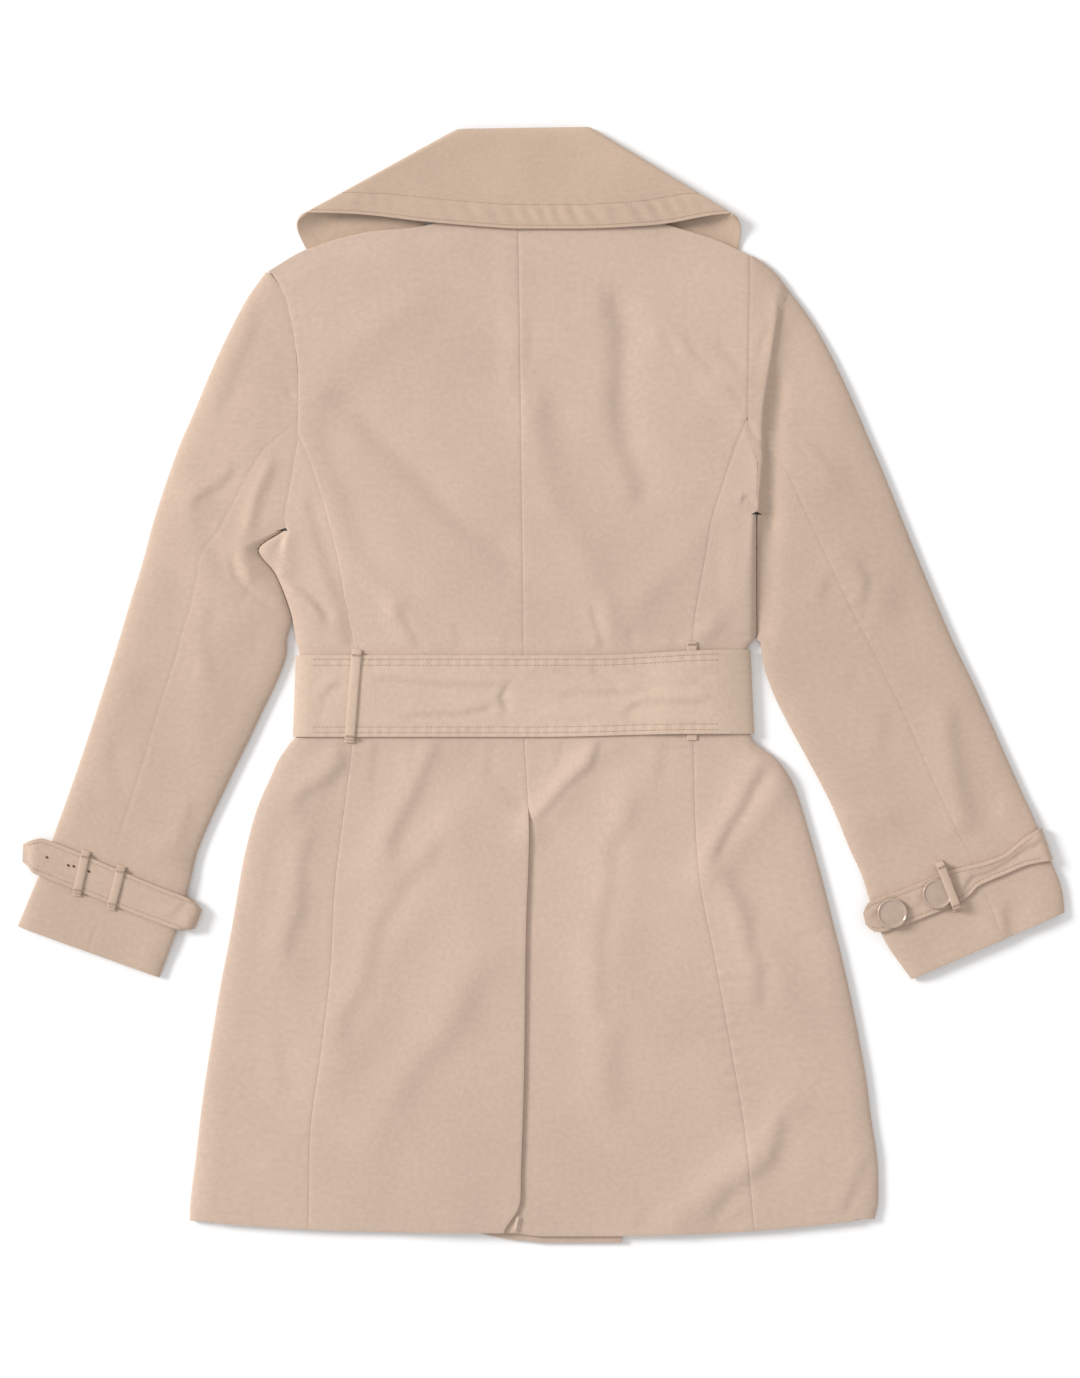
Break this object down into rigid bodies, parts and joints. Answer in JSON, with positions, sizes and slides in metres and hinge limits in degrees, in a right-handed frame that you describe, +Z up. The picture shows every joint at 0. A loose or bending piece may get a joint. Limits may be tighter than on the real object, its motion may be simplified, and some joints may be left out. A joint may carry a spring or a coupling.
{
  "type": "trench coat",
  "caption": "Belted beige trench coat laid face down and flat, with collar, princess-seamed back, hem vent and cuff straps.",
  "frame": {"origin": "on the table under the middle of the coat's outline", "axes": "+Z up off the table, +Y from the hem towards the collar, +X towards the wearer's right sleeve"},
  "size_m": [0.8366, 0.8912, 0.0158],
  "materials": {
    "body_cloth": "matte cotton poplin, beige",
    "sleeve_cloth": "matte cotton poplin, beige",
    "trim_cloth": "matte cotton poplin with edge stitching, beige",
    "button": "glossy four-hole button, beige"
  },
  "bodies": {
    "root": {"back_left": "body_cloth", "side_back_left": "body_cloth", "front_left": "body_cloth", "sleeve_upper_left": "sleeve_cloth", "sleeve_under_left": "sleeve_cloth", "cuff_strap_left": "trim_cloth", "back_right": "body_cloth", "side_back_right": "body_cloth", "front_right": "body_cloth", "sleeve_upper_right": "sleeve_cloth", "sleeve_under_right": "sleeve_cloth", "cuff_strap_right": "trim_cloth", "collar": "trim_cloth", "collar_stand": "trim_cloth", "belt": "trim_cloth", "belt_loop_left": "trim_cloth", "belt_loop_right": "trim_cloth", "strap_carrier_left_outer": "trim_cloth", "strap_carrier_left_inner": "trim_cloth", "strap_carrier_right": "trim_cloth", "cuff_button_1": "button", "cuff_button_2": "button"}
  },
  "joints": []
}
